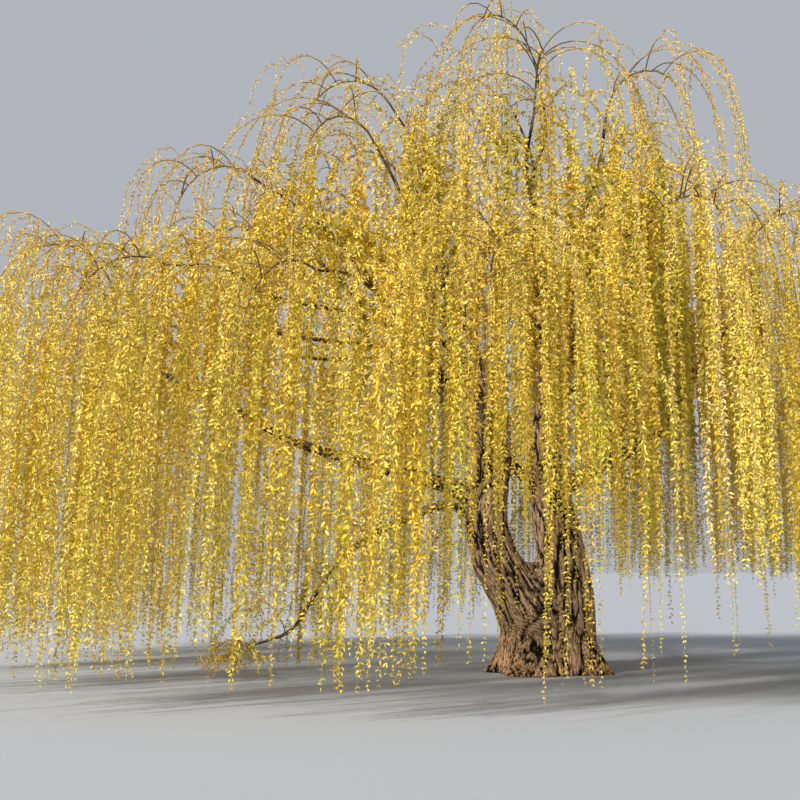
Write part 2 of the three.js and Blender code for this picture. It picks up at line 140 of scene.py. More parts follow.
# Twigs by order, as in the solids: how steeply each leaves its parent and how soon its weight turns it down
TWIGS = ({"rise": 65, "bend": 0.56, "more": 0.26}, {"rise": 50, "bend": 0.52, "more": 0.3})
BRANCHLETS = {"count": 9, "from": 0.12, "stretch": 1.3, "least": 25, "spread": 110, "first": 0.35,
              "turn": 0.7548}
SWAY = {"lean": -0.018, "wander": 0.035}
STRIDE = 0.1
LAST_STEP = 1.001  # a place on a path stays this many strides short of its count of spots
TRIES = 5
SOONER = 0.78
NEAR = 3.2  # twigs keep clear of the limbs that pass this near to their mass's place
ROOT_STRETCH = 0.25
CLEAR = 0.035

# Side shoots, which grow like branchlets along each bough
SHOOTS = {"count": 8, "from": 0.25, "level_from": 0.55, "to": 0.97, "rise": 77, "aside": 80,
          "climb": (0.3, 1.1), "over": 1.5, "bend": (0.3, 1.6), "reach": 2.2, "reach_more": 1.8}

# Strands, the finest twigs: where they leave a stem or branchlet, and by ring how far apart they stand,
# how soon they turn down and how long they grow
STRANDS = {"from": 0.15, "share": 0.8, "rise": 35, "rise_more": 25, "crowd": 1.4, "outward": 0.03}
RING_STRANDS = {
    "top": {"apart": 0.56, "bend": 0.26, "bend_more": 0.6, "reach": 0.9, "reach_more": 2.4, "long": 0},
    "middle": {"apart": 0.57, "bend": 0.22, "bend_more": 0.5, "reach": 1.2, "reach_more": 3.0, "long": 0.36},
    "outer": {"apart": 0.365, "bend": 0.16, "bend_more": 0.36, "reach": 2.8, "reach_more": 3.6, "long": 0},
    "low": {"apart": 0.16, "bend": 0.12, "bend_more": 0.1, "reach": 0.6, "reach_more": 1.6, "long": 0},
}
LONG_REACH = 6.0  # of the strands that hang past their own ring's hem
SPARSE_TOP = {"kept": 0.38, "depth": 1.4}  # the share of the inner rings' strands that is kept near the dome
SHORTEST = 0.45
NARROWEST = 0.3  # how far aside of its root a branchlet or shoot has to reach
SPREAD_ASIDE = 130  # degrees to either side of its parent's own way
OVERLAP = 0.6  # how far a fine twig may pass the border of its mass
WAVE = {"size": 0.022, "length": 1.7, "vary": (0.6, 1.6)}

# Twig radii at root and tip, and the length at the root that is brown before it turns golden
RADII = {"stem": (0.019, 0.0035), "branchlet": (0.011, 0.003), "shoot": (0.01, 0.003),
         "strand": (0.0042, 0.0022)}
BROWN = {"stem": 1.3, "branchlet": 0.4, "shoot": 0.5}
BARE_ARM = (0.02, 0.14)  # the stretch of a stem or branchlet in which its leaves reach their full size
TWIG_TAPER = 0.6
POINTED = 0.3  # the share of its radius that a twig's last ring keeps
RING_STEPS = {
    "arm": {"first": 0.14, "growth": 1.1, "most": 0.8, "sides": 4},
    "strand": {"first": 0.17, "growth": 1.5, "most": 1.4, "sides": 3},
}
FEWEST_RINGS = 4
ASIDE = 1e-3  # a tube whose ends stand less than this aside of each other is upright

# Leaves and catkins: nodes along a twig, and the size of what stands on each
NODES = {"apart": 0.052, "vary": 0.5, "bare": 0.1}
LEAF = {"length": 0.076, "width": 0.032, "widest": 0.42, "fold": 0.3, "open": 47, "vary": 30,
        "sizes": (0.7, 1.15)}
CATKIN = {"length": 0.058, "width": 0.02, "widest": 0.7, "share": 0.06, "open": 62, "vary": 24,
          "sizes": (0.75, 1.2)}
LEAVES_PER_NODE = 2
LEAF_TURN = {"apart": 2.2, "vary": 0.5}
LEAF_ROLL = {"middle": 90, "vary": 52}
ASLANT = (0.36, 0.93, 0.05)  # a way that twigs hardly ever take, from which turns round them are measured
STRAND_SIZES = (0.8, 1.2)
SMALLEST = 0.3
SMALLER_AT_TIP = 0.72

# Leaves near the dome are smaller, and leaves deep inside the crown are larger
YOUNG = {"smaller": 0.7, "depth": 1.6}
INSIDE = {"larger": 0.7, "below": (1.0, 2.2), "out": (0.66, 0.84), "above": (2.8, 3.8)}
MOST_TRIANGLES = 195_000  # of one piece

# Plain colours dealt out by spray, each with its share
LEAF_COLORS = (
    ("gold", (0.83, 0.6, 0.055), 0.4),
    ("lemon", (0.87, 0.71, 0.11), 0.3),
    ("honey", (0.76, 0.49, 0.05), 0.04),
    ("olive", (0.48, 0.4, 0.04), 0.13),
    ("fresh", (0.6, 0.55, 0.05), 0.07),
    ("straw", (0.84, 0.65, 0.24), 0.06),
)
CATKIN_COLORS = (
    ("amber", (0.8, 0.53, 0.07), 0.5),
    ("butter", (0.86, 0.64, 0.16), 0.35),
    ("bronze", (0.52, 0.31, 0.07), 0.15),
)
OWN_TINT = 0.35  # the share of strands that differ from their spray
TWIG_COLORS = (("branchlet_bark", (0.17, 0.105, 0.045)), ("withy_bark", (0.50, 0.31, 0.09)))

# Bark: its colours, the heights at which each one shows, and the noise that adds cracks and scales
# The darkest colour, in furrows and cracks, is partly the bark's own colour and partly painted shade
TRUNK_BARK = {"crack_and_shade": (0.01, 0.006, 0.004), "body": (0.15, 0.09, 0.047), "ridge": (0.64, 0.43, 0.245),
              "earthy": (1.0, 0.92, 0.86)}
BOUGH_BARK = {"crack_and_shade": (0.02, 0.013, 0.008), "body": (0.11, 0.07, 0.04), "ridge": (0.27, 0.19, 0.115),
              "earthy": (1, 1, 1)}
BARK_RAMP = {"crack_and_shade": 0.47, "body": 0.64, "ridge": 0.86}
EARTHY = {"none_above": 1.0, "full_below": 0.1}
RIDGES = {"weight": 0.55, "shift": -0.22}
CRACKS = {"scale": (24, 24, 3.2), "detail": 3, "middle": 0.5, "sharp": 9, "weight": 0.36}
SCALES = {"scale": (34, 34, 15), "detail": 5, "weight": 0.6}
BUMP = {"Strength": 0.8, "Distance": 0.045}

# Roughness, and the specular level where it isn't the usual one
SHEEN = {
    "leaf": {"Roughness": 0.6, "Specular IOR Level": 0.25},
    "twig": {"Roughness": 0.65},
    "bark": {"Roughness": 0.92, "Specular IOR Level": 0.2},
    "floor": {"Roughness": 0.9},
}

GOLDEN = 0.6180339887
SEED = 20260403
WORD = 0xFFFFFFFF
DRAW = {"bend": 1, "lean_x": 7, "lean_y": 8, "ragged": 11, "stray": 21}
DRAWS = {"tints": 1, "leaves": 2, "waves": 3, "shoots": 500}

UP = np.array([0.0, 0.0, 1.0])
TURN = 2 * math.pi
TINY = 1e-9


def chance(*keys):
    """A value from 0 to 1 that depends only on its whole-number keys, the same as in the solids."""
    h = SEED
    for key in keys:
        h = ((h ^ ((key + 0x9E3779B9) & WORD)) * 0x85EBCA6B) & WORD
        h ^= h >> 13
        h = (h * 0xC2B2AE35) & WORD
        h ^= h >> 16
    return h / 2**32


def part(x):
    return x - math.floor(x)


def lerp(a, b, share):
    return a + (b - a) * share


def smooth(x, low, high):
    share = np.clip((x - low) / (high - low), 0, 1)
    return share * share * (3 - 2 * share)


def unit(v):
    return v / np.maximum(norm(v, axis=-1, keepdims=True), TINY)


def swing(draws, count):
    """Random values from -1 to 1."""
    return 2 * draws.random(count) - 1


def heading(azimuth, rise):
    """The way that points along an azimuth and rises above the horizon, for numbers or arrays."""
    level = np.cos(rise)
    return np.stack([np.cos(azimuth) * level, np.sin(azimuth) * level, np.sin(rise) + 0 * azimuth], axis=-1)


# Curves that are walked by their length, as the solids' are


class Route:
    DIVISIONS = 200
    NUDGE = 1e-4

    def __init__(self, point):
        self.point = point
        self.shares = np.linspace(0, 1, self.DIVISIONS + 1)
        spots = np.array([point(t) for t in self.shares])
        steps = norm(np.diff(spots, axis=0), axis=1)
        self.lengths = np.concatenate([[0], np.cumsum(steps)])
        self.length = self.lengths[-1]

    def at(self, along):
        return self.point(np.interp(along * self.length, self.lengths, self.shares))

    def way(self, along):
        t = np.interp(along * self.length, self.lengths, self.shares)
        return unit(self.point(min(t + self.NUDGE, 1)) - self.point(max(t - self.NUDGE, 0)))


def route_through(points):
    """A centripetal Catmull-Rom curve through points."""
    points = np.array(points, float)
    padded = np.vstack([2 * points[0] - points[1], points, 2 * points[-1] - points[-2]])

    def point(t):
        run = t * (len(points) - 1)
        i = min(int(run), len(points) - 2)
        w = run - i
        p0, p1, p2, p3 = padded[i : i + 4]
        d0, d1, d2 = (math.sqrt(norm(b - a)) for a, b in ((p0, p1), (p1, p2), (p2, p3)))
        m1 = ((p1 - p0) / d0 - (p2 - p0) / (d0 + d1) + (p2 - p1) / d1) * d1
        m2 = ((p2 - p1) / d1 - (p3 - p1) / (d1 + d2) + (p3 - p2) / d2) * d1
        return p1 + m1 * w + (3 * (p2 - p1) - 2 * m1 - m2) * w**2 + (2 * (p1 - p2) + m1 + m2) * w**3

    return Route(point)


def route_arch(start, near, far, tip):
    """A cubic Bezier curve."""

    def point(t):
        left = 1 - t
        return start * left**3 + 3 * near * t * left**2 + 3 * far * t**2 * left + tip * t**3

    return Route(point)


class Limb:
    """A curve that a limb follows as it tapers, and balls along it for twigs to keep clear of."""

    def __init__(self, name, route, thick, thin):
        self.name = name
        self.route = route
        self.thick = thick
        self.thin = thin
        self.ball_spots, _, radii = self.line(np.linspace(0, 1, BALLS + 1))
        self.ball_radii = radii + route.length / BALLS * BALL_MARGIN

    def radius(self, along):
        return lerp(self.thick, self.thin, along**TAPER_POWER)

    def line(self, shares):
        """The limb's middle, its way and its radius at shares of its length."""
        spots = np.array([self.route.at(s) for s in shares])
        ways = np.array([self.route.way(s) for s in shares])
        return spots, ways, np.array([self.radius(s) for s in shares])


# The skeleton: stems, boughs and the places of the masses, as in the solids


def reach_share(spots):
    """How far out of the crown's middle spots stand, from 0 to 1 at its edge."""
    x, y = spots[..., 0], spots[..., 1]
    wide = np.where(x < 0, CROWN["left"], CROWN["right"])
    deep = np.where(y < 0, CROWN["front"], CROWN["back"])
    return np.hypot(x / wide, y / deep)


def dome_height(spots):
    across = (spots[..., 0] + CROWN["left"]) / (CROWN["left"] + CROWN["right"])
    shoulder = lerp(SHOULDER["left"], SHOULDER["right"], across)
    return shoulder + (CROWN["top"] - shoulder) * (1 - np.minimum(reach_share(spots), 1) ** DOME_POWER)


def hem_height(spots):
    x, y = spots[..., 0], spots[..., 1]
    plain = lerp(HEM["left"], HEM["right"], smooth(x, HEM["fade_from"], HEM["fade_to"]))
    in_window = (y < 0) & (np.abs(x - WINDOW["middle"]) < WINDOW["half_width"])
    return np.where(in_window, WINDOW["height"], plain)


class Mass:
    """A mass of foliage: its place, outward azimuth, bough's tip and lowest hem."""

    def __init__(self, ring, index, key, angle, place, hem):
        self.name = f"{ring}_{index + 1}"
        self.ring = ring
        self.index = index
        self.key = key
        self.size = 1.0
        self.level = ring == "outer" and index in LEVEL_BOUGHS
        self.angle = angle
        self.place = np.array(place)
        self.hem = hem
        self.azimuth = math.atan2(place[1], place[0])
        top = np.array([*place, dome_height(self.place) - TIP["below_dome"]])
        self.tip = top - heading(self.azimuth, 0.0) * TIP["before_middle"]
        self.bearing = None

    def owns(self, spots, margin):
        """Whether each spot lies on this mass's side of the borders with the others, by a margin."""
        to_mass = ((spots[:, :2] - self.place) ** 2).sum(-1)
        to_others = ((spots[:, None, :2] - self.others) ** 2).sum(-1)
        inside = (to_others - to_mass[:, None]) / (2 * self.apart)
        return (inside > margin).all(1)


class LowMass:
    """The small mass at the end of the low bough."""

    def __init__(self, limb):
        self.name = "low"
        self.ring = "low"
        self.key = LOW_MASS["key"]
        self.size = LOW_MASS["size"]
        self.hem = LOW_MASS["hem"]
        self.tip = limb.route.at(1)
        self.bearing = limb.route.way(1)
        self.azimuth = math.atan2(self.bearing[1], self.bearing[0])
        out = heading(self.azimuth, 0.0) * LOW_MASS["radius"] * LOW_MASS["reach"]
        self.place = (self.tip + out)[:2]
        self.line = limb.ball_spots

    def owns(self, spots, margin):
        """Round the mass's own place, and under the bough that carries it."""
        away = norm(spots[:, :2] - self.place, axis=1)
        round_tip = (away < LOW_MASS["radius"] - margin) & (spots[:, 2] < LOW_MASS["height"])
        gaps = norm(spots[:, None, :2] - self.line[:, :2], axis=2)
        over = self.line[gaps.argmin(1), 2] + LOW_MASS["over"]
        return round_tip | ((gaps.min(1) < LOW_MASS["aside"]) & (spots[:, 2] < over))


def ring_masses():
    middle = ((CROWN["right"] - CROWN["left"]) / 2, (CROWN["back"] - CROWN["front"]) / 2)
    half = ((CROWN["right"] + CROWN["left"]) / 2, (CROWN["back"] + CROWN["front"]) / 2)
    masses = []
    for ring, count, out, turn, hem in RINGS:
        for index in range(count):
            angle = TURN * (index + turn) / count
            place = (middle[0] + out * half[0] * math.cos(angle), middle[1] + out * half[1] * math.sin(angle))
            masses.append(Mass(ring, index, len(masses), angle, place, hem))
    for mass in masses:
        mass.others = np.array([other.place for other in masses if other is not mass])
        mass.apart = norm(mass.others - mass.place, axis=1)
    return masses


def bough_route(start, tip, kind, key):
    """A bough leaves its parent outward, rises early or late, arches over and strays on its way."""
    across = (tip - start) * (1, 1, 0)
    climb = tip[2] - start[2]
    near = start + across * HANDLES["near"] + UP * climb * kind["rise"]
    far = start + across * HANDLES["far"] + UP * climb * kind["crest"]
    arch = route_arch(start, near, far, tip)
    points = [arch.at(i / BOUGH_STEPS) for i in range(BOUGH_STEPS + 1)]
    reach = arch.length * STRAY
    for i in range(BOUGH_STEPS - 1):
        stray = [2 * chance(key, i, axis, DRAW["stray"]) - 1 for axis in range(3)]
        points[i + 1] = points[i + 1] + reach * np.array(stray)
    return route_through(points)


def build_boughs(masses, stems):
    """The bough that carries each mass. Outer boughs fork from a middle bough, unless they run level."""
    boughs = {}
    for mass in masses:
        kind = BOUGHS["level" if mass.level else mass.ring]
        parent = stems[0 if mass.place[0] < (CROWN["right"] - CROWN["left"]) / 2 else 1]
        if mass.ring == "outer" and not mass.level:
            middles = [other for other in masses if other.ring == "middle"]
            nearest = min(middles, key=lambda other: 1 - math.cos(other.angle - mass.angle))
            parent = boughs[nearest.name]
        fork = min(kind["from"] + kind["spread"] * part(mass.index * GOLDEN), LAST_FORK)
        route = bough_route(parent.route.at(fork), mass.tip, kind, mass.key)
        thick = min(kind["thick"], parent.radius(fork) * NEVER_THICKER)
        boughs[mass.name] = Limb(f"{mass.name}_bough", route, thick, kind["thin"])
        boughs[mass.name].parent = parent
        mass.bearing = route.way(1)
    return boughs


# Twigs


class Space:
    """Where the twigs of a mass may pass: its own side of the borders, clear of limbs and inside the box."""

    def __init__(self, mass, limbs):
        self.mass = mass
        spots = np.vstack([limb.ball_spots for limb in limbs])
        radii = np.concatenate([limb.ball_radii for limb in limbs])
        near = norm(spots[:, :2] - mass.place, axis=1) < NEAR
        self.balls = spots[near]
        self.radii = radii[near]
        low, high = (np.array(corner) for corner in CAD_BOX)
        spill = (high - low) * SPILL
        self.low = np.array([low[0] - spill[0], low[1] - spill[1], LOWEST])
        self.high = np.array([high[0] + spill[0], high[1] + spill[1], high[2]])

    def is_free(self, spots, margin, from_root):
        free = self.mass.owns(spots, margin) & (spots > self.low).all(1) & (spots < self.high).all(1)
        if from_root < ROOT_STRETCH:
            return free
        gaps = norm(spots[:, None] - self.balls, axis=2) - self.radii
        return free & (gaps > CLEAR).all(1)


def droop(space, start, way, bend, drift, end, reach, margin):
    """Paths of twigs that bend down by their weight, each up to its end height, its reach or its space."""
    most = int(CROWN["top"] / STRIDE)
    paths = np.repeat(start[:, None], most + 1, axis=1)
    steps = np.zeros(len(start), int)
    done = np.zeros(len(start), bool)
    live = np.ones(len(start), bool)
    along = way.copy()
    for step in range(1, most + 1):
        along[:, 2] -= STRIDE / bend
        along = unit(along)
        last = paths[:, step - 1]
        spot = last + (along + drift) * STRIDE
        live &= space.is_free(spot, margin, step * STRIDE)
        low = live & (spot[:, 2] < end)
        share = (end - spot[:, 2]) / np.maximum(last[:, 2] - spot[:, 2], TINY)
        spot = np.where(low[:, None], lerp(spot, last, share[:, None]), spot)
        paths[live, step] = spot[live]
        steps[live] = step
        done |= low | (live & (step * STRIDE >= reach))
        live &= ~done
        if not live.any():
            break
    return [path[: count + 1] for path, count in zip(paths, steps)], done


def grow(space, start, way_of_try, bend, drift, end, reach, margin):
    """The best of a few tries at each twig, each of which bends sooner than the last."""
    best = [start[i : i + 1] for i in range(len(start))]
    waiting = np.arange(len(start))
    for k in range(TRIES):
        if not len(waiting):
            break
        way = way_of_try(k / TRIES)[waiting]
        args = (start[waiting], way, bend[waiting] * SOONER**k, drift[waiting], end[waiting], reach[waiting])
        paths, done = droop(space, *args, margin)
        for i, path in zip(waiting, paths):
            if len(path) > len(best[i]):
                best[i] = path
        waiting = waiting[~done]
    return best


def place_on(path, distance):
    """The spot on a path at a distance from its root."""
    at = min(max(distance / STRIDE, 0), len(path) - LAST_STEP)
    i = int(at)
    return lerp(path[i], path[i + 1], at - i)


def keyed_end(mass, spot, keys):
    """The height where a stem or branchlet ends, as in the solids."""
    if mass.ring == "low":
        return LOW_MASS["hem"] + LOW_MASS["ragged"] * chance(*keys, DRAW["ragged"])
    ragged = HEM["ragged"] * chance(*keys, DRAW["ragged"]) ** 2
    return max(mass.hem, float(hem_height(spot))) + ragged


def keyed_drift(keys):
    lean = SWAY["lean"] + SWAY["wander"] * (chance(*keys, DRAW["lean_x"]) - 0.5)
    return np.array([lean, SWAY["wander"] * (chance(*keys, DRAW["lean_y"]) - 0.5), 0])


def grow_keyed(space, order, start, way_of_try, keys, margin):
    """One stem or branchlet, with the solids' own chances."""
    mass = space.mass
    twig = TWIGS[order]
    bend = (twig["bend"] + twig["more"] * chance(*keys, DRAW["bend"])) * mass.size
    end = keyed_end(mass, start, keys)
    one = [np.array([value]) for value in (bend, keyed_drift(keys), end, np.inf)]
    return grow(space, start[None], lambda share: way_of_try(share)[None], *one, margin)[0]


def is_wide(path):
    """Whether a branchlet or shoot is long enough, and arches away from its root."""
    aside = norm((path - path[0])[:, :2], axis=1).max()
    return len(path) * STRIDE > SHORTEST and aside > NARROWEST


def grow_branchlets(space, stem):
    """Branchlets to both sides of a mass's stem. Each turns outward when it finds no room."""
    mass = space.mass
    branchlets = []
    rise = math.radians(TWIGS[1]["rise"])
    for k in range(BRANCHLETS["count"]):
        stand = part(k * GOLDEN + BRANCHLETS["first"])
        start = place_on(stem, mass.size * (BRANCHLETS["from"] + BRANCHLETS["stretch"] * stand))
        side = 1 if k % 2 else -1
        aside = side * math.radians(BRANCHLETS["least"] + BRANCHLETS["spread"] * part(k * BRANCHLETS["turn"]))
        way_of_try = lambda share: heading(mass.azimuth + aside * (1 - share), rise)
        branchlet = grow_keyed(space, 1, start, way_of_try, (mass.key, k, 1), -OVERLAP)
        if is_wide(branchlet):
            branchlets.append((branchlet, mass.azimuth + aside))
    return branchlets


def trails_on(mass, start, draws):
    """Which strands from these spots hang on before the trunk, past the hem."""
    front = (start[:, 1] < 0) & (start[:, 0] > TRAILING["from"]) & (mass.ring == "outer")
    share = CURTAIN["trailing"] if mass.name in CURTAIN["masses"] else TRAILING["share"]
    return front & (draws.random(len(start)) < share)


def strand_ends(mass, start, long, trails, draws):
    """The heights where strands from these spots end: ragged above the hem, or trailing near the ground."""
    if mass.ring == "low":
        return LOW_MASS["hem"] + LOW_MASS["ragged"] * draws.random(len(start))
    plain = np.maximum(np.where(long, 0, mass.hem), hem_height(start))
    ragged = HEM["ragged"] * draws.random(len(start)) ** 2
    trailing = TRAILING["height"] + TRAILING["more"] * draws.random(len(start))
    return np.where(trails, trailing, plain + ragged)


def grow_strands(space, parent, azimuth, draws):
    """The strands along one stem or branchlet, more of them near its root, each a fine hanging twig."""
    mass = space.mass
    stretch = (len(parent) - 1) * STRIDE * STRANDS["share"]
    kind = RING_STRANDS[mass.ring]
    apart = kind["apart"] * (CURTAIN["closer"] if mass.name in CURTAIN["masses"] else 1)
    count = max(int(stretch / apart), 1)
    stands = STRANDS["from"] * mass.size + stretch * draws.random(count) ** STRANDS["crowd"]
    start = np.array([place_on(parent, stand) for stand in stands])
    if mass.ring in ("top", "middle"):
        below = dome_height(start) - start[:, 2]
        kept = draws.random(count) < lerp(SPARSE_TOP["kept"], 1, smooth(below, 0, SPARSE_TOP["depth"]))
        start = start[kept]
        count = len(start)
    aside = np.radians(SPREAD_ASIDE) * swing(draws, count)
    rise = np.radians(STRANDS["rise"] + STRANDS["rise_more"] * swing(draws, count))
    bend = kind["bend"] + kind["bend_more"] * draws.random(count) ** 2
    wander = SWAY["wander"] * (draws.random((count, 3)) - 0.5) * (1, 1, 0)
    drift = wander + (SWAY["lean"], 0, 0) + heading(mass.azimuth, 0.0) * STRANDS["outward"]
    long = draws.random(count) < kind["long"]
    trails = trails_on(mass, start, draws)
    reach = np.where(long | trails, LONG_REACH, kind["reach"] + kind["reach_more"] * draws.random(count))
    end = strand_ends(mass, start, long, trails, draws)
    way_of_try = lambda share: heading(azimuth + aside * (1 - share), rise)
    paths = grow(space, start, way_of_try, bend, drift, end, reach, -OVERLAP)
    return [path for path in paths if len(path) * STRIDE > SHORTEST]


def grow_shoots(spaces, limb, level, number):
    """Side shoots along a bough, each in the space of the mass that it stands in."""
    draws = np.random.default_rng([SEED, DRAWS["shoots"] + number])
    rise = math.radians(SHOOTS["rise"])
    first = SHOOTS["level_from" if level else "from"]
    sprays = []
    for k in range(SHOOTS["count"]):
        along = lerp(first, SHOOTS["to"], (k + draws.random()) / SHOOTS["count"])
        start = limb.route.at(along)
        space = min(spaces, key=lambda one: norm(one.mass.place - start[:2]))
        way = limb.route.way(along)
        side = 1 if (k + number) % 2 else -1
        azimuth = math.atan2(way[1], way[0]) + side * math.radians(SHOOTS["aside"]) * draws.random()
        over = start + heading(azimuth, 0.0) * SHOOTS["over"]
        room = dome_height(over[None]) - start[2]
        bend = np.clip(room * draws.uniform(*SHOOTS["climb"]), *SHOOTS["bend"]) * space.mass.size
        end = strand_ends(space.mass, start[None], False, False, draws)
        reach = SHOOTS["reach"] * bend + SHOOTS["reach_more"] * draws.random()
        drift = np.array([[SWAY["lean"], 0, 0]])
        way_of_try = lambda share: heading(np.array([azimuth]), rise + 0 * share)
        path = grow(space, start[None], way_of_try, bend, drift, end, reach, -OVERLAP)[0]
        if is_wide(path):
            strands = grow_strands(space, path, azimuth, draws)
            sprays.append({"kind": "shoot", "path": path, "strands": strands})
    return sprays


def grow_mass(space):
    """All the twigs of a mass, as sprays: a stem or branchlet and the strands that hang from it."""
    mass = space.mass
    draws = np.random.default_rng([SEED, mass.key])
    rising = heading(mass.azimuth, math.radians(TWIGS[0]["rise"]))
    way = unit(mass.bearing + rising)
    stem = grow_keyed(space, 0, mass.tip, lambda share: way, (mass.key, 0, 0), CLEAR)
    sprays = [{"kind": "stem", "path": stem, "strands": grow_strands(space, stem, mass.azimuth, draws)}]
    for branchlet, azimuth in grow_branchlets(space, stem):
        strands = grow_strands(space, branchlet, azimuth, draws)
        sprays.append({"kind": "branchlet", "path": branchlet, "strands": strands})
    return sprays


def waved(path, draws):
    """A strand's path with slow waves that grow from nothing at its root."""
    along = np.arange(len(path)) * STRIDE
    for axis in range(2):
        turn = TURN * (along / (WAVE["length"] * draws.uniform(*WAVE["vary"])) + draws.random())
        path[:, axis] += WAVE["size"] * np.minimum(along, 1) * np.sin(turn)
    return path


# Meshes from arrays


def placed(name, data):
    """An object in the scene."""
    one = bpy.data.objects.new(name, data)
    bpy.context.scene.collection.objects.link(one)
    return one


def mesh_piece(name, vertices, faces, materials, tints=None, smooth_faces=False):
    """One object from arrays of corners and of triangles or quads, and each face's index of a material."""
    mesh = bpy.data.meshes.new(name)
    corners = faces.shape[1]
    mesh.vertices.add(len(vertices))
    mesh.vertices.foreach_set("co", np.ascontiguousarray(vertices, np.float32).ravel())
    mesh.loops.add(faces.size)
    mesh.loops.foreach_set("vertex_index", np.ascontiguousarray(faces, np.int32).ravel())
    mesh.polygons.add(len(faces))
    mesh.polygons.foreach_set("loop_start", np.arange(0, faces.size, corners, dtype=np.int32))
    mesh.polygons.foreach_set("use_smooth", np.full(len(faces), smooth_faces))
    for material in materials:
        mesh.materials.append(material)
    if tints is not None:
        mesh.polygons.foreach_set("material_index", np.ascontiguousarray(tints, np.int32))
    mesh.update(calc_edges=True)
    return placed(name, mesh)


def rings_along(spots, ways, radii, sides):
    """The corners of the rings of a tube: (rings, sides, 3)."""
    level = np.cross(UP, spots[-1] - spots[0])
    if norm(level) < ASIDE:
        level = np.array([1.0, 0.0, 0.0])
    across = unit(level - ways * (ways @ level)[:, None])
    around = np.cross(ways, across)
    turns = TURN * np.arange(sides) / sides
    ring = across[:, None] * np.cos(turns)[:, None] + around[:, None] * np.sin(turns)[:, None]
    return spots[:, None] + ring * np.reshape(radii, (len(spots), -1, 1))


def tube_faces(rings, sides):
    """Quads of a tube's wall."""
    low, j = np.meshgrid(np.arange(rings - 1) * sides, np.arange(sides), indexing="ij")
    high = low + sides
    k = (j + 1) % sides
    return np.stack([low + j, low + k, high + k, high + j], -1).reshape(-1, 4)


def ring_stands(length, steps):
    """Where a twig's rings stand: close together where it bends, further apart where it hangs."""
    stands, step = [0.0], steps["first"]
    while stands[-1] + step < length:
        stands.append(stands[-1] + step)
        step = min(step * steps["growth"], steps["most"])
    if len(stands) > 2:
        return np.array(stands) * length / stands[-1]
    return np.linspace(0, length, FEWEST_RINGS)


def between(stands, spots, along):
    """The spots at distances along a line of straight pieces."""
    return np.stack([np.interp(along, stands, spots[:, axis]) for axis in range(3)], -1)


def twig_line(path, kind):
    """The line that a twig is drawn along: where its rings stand, and their middles."""
    stands = ring_stands((len(path) - 1) * STRIDE, RING_STEPS[kind])
    return stands, between(np.arange(len(path)) * STRIDE, path, stands)


def twig_tubes(name, twigs, kind, materials):
    """Joined tapering tubes from their paths, radii at root and tip, and lengths in the first material."""
    sides = RING_STEPS[kind]["sides"]
    corners, faces, tints, total = [], [], [], 0
    for path, thick, thin, brown in twigs:
        stands, spots = twig_line(path, kind)
        count = len(stands)
        ways = unit(np.gradient(spots, axis=0))
        radii = lerp(thick, thin, (stands / stands[-1]) ** TWIG_TAPER)
        radii[-1] *= POINTED
        corners.append(rings_along(spots, ways, radii, sides).reshape(-1, 3))
        faces.append(tube_faces(count, sides) + total)
        tints.append(np.repeat(stands[:-1] > brown, sides))
        total += count * sides
    return mesh_piece(name, np.vstack(corners), np.vstack(faces), materials, np.concatenate(tints), True)


# Leaves and catkins


def nodes_on(path, kind, draws):
    """The spots of a twig's nodes, the twig's way at each, and each one's share of the way to the tip."""
    rings, line = twig_line(path, kind)
    count = int((rings[-1] - NODES["bare"]) / NODES["apart"])
    if count < 1:
        return None
    jitter = NODES["vary"] * (draws.random(count) - 0.5)
    along = NODES["bare"] + NODES["apart"] * (np.arange(count) + 0.5 + jitter)
    i = np.minimum(np.searchsorted(rings, along), len(rings) - 1)
    return between(rings, line, along), unit(line[i] - line[i - 1]), along / rings[-1]


def outward(ways, turn):
    """The way out from a twig, at an angle round it."""
    across = unit(np.cross(ways, ASLANT))
    around = np.cross(ways, across)
    return across * np.cos(turn)[:, None] + around * np.sin(turn)[:, None]


def opened(shape, ways, outs, draws):
    """The way, side and normal of each leaf or catkin, which opens out from its twig."""
    opening = np.radians(shape["open"] + shape["vary"] * swing(draws, len(ways)))[:, None]
    way = ways * np.cos(opening) + outs * np.sin(opening)
    side = np.cross(ways, outs)
    return way, side, np.cross(way, side)


def leaf_corners(spots, ways, outs, length, draws):
    """Folded lance-shaped leaves of two faces: root, left edge, tip and right edge."""
    way, side, normal = opened(LEAF, ways, outs, draws)
    roll = np.radians(LEAF_ROLL["middle"] + LEAF_ROLL["vary"] * swing(draws, len(ways)))[:, None]
    side, normal = side * np.cos(roll) + normal * np.sin(roll), normal * np.cos(roll) - side * np.sin(roll)
    half = length[:, None] * LEAF["width"] / LEAF["length"] / 2
    middle = spots + way * length[:, None] * LEAF["widest"]
    lifted = middle + normal * half * LEAF["fold"]
    tip = spots + way * length[:, None] - normal * half * LEAF["fold"]
    return np.stack([spots, lifted - side * half, tip, lifted + side * half], 1)


LEAF_FACES = np.array([[0, 1, 2], [0, 2, 3]])


def catkin_corners(spots, ways, outs, length, draws):
    """Three-sided clubs: root, and three corners near the blunt tip."""
    way, side, normal = opened(CATKIN, ways, outs, draws)
    half = length[:, None] * CATKIN["width"] / CATKIN["length"] / 2
    turns = draws.random(len(ways))[:, None] * TURN
    ring = []
    for k, share in enumerate((1, CATKIN["widest"], CATKIN["widest"])):
        turn = turns + k * TURN / 3
        out = (side * np.cos(turn) + normal * np.sin(turn)) * half
        ring.append(spots + way * length[:, None] * share + out)
    return np.stack([spots, *ring], 1)


CATKIN_FACES = np.array([[0, 2, 1], [0, 3, 2], [0, 1, 3], [1, 2, 3]])


